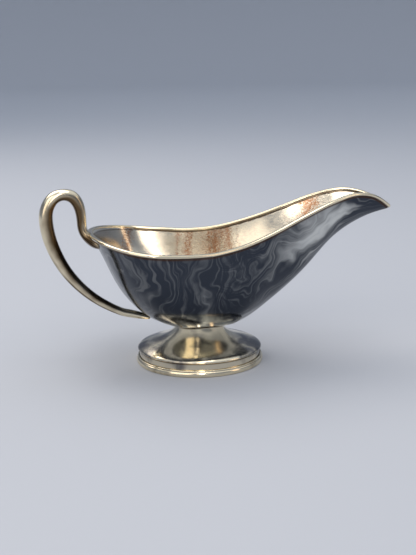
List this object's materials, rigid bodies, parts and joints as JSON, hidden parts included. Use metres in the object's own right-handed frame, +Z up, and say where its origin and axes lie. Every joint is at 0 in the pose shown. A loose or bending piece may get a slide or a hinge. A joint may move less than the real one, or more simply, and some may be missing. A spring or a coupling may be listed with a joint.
{
  "type": "sauce boat",
  "caption": "Footed silver-plated sauce boat: open boat-shaped bowl with a long raised pouring lip, wired rim, high looped handle at the stern and a round trumpet foot.",
  "frame": {"origin": "on the table, under the middle of the object's whole length and width", "axes": "+Z up, +X from the handle towards the pouring lip, +Y to the boat's left side"},
  "size_m": [0.2286, 0.1078, 0.1144],
  "materials": {
    "silver_plate": "polished silver plate, softened by wear"
  },
  "bodies": {
    "root": {"bowl": "silver_plate", "rim_wire": "silver_plate", "handle": "silver_plate", "foot": "silver_plate", "foot_base_wire": "silver_plate"}
  },
  "joints": []
}
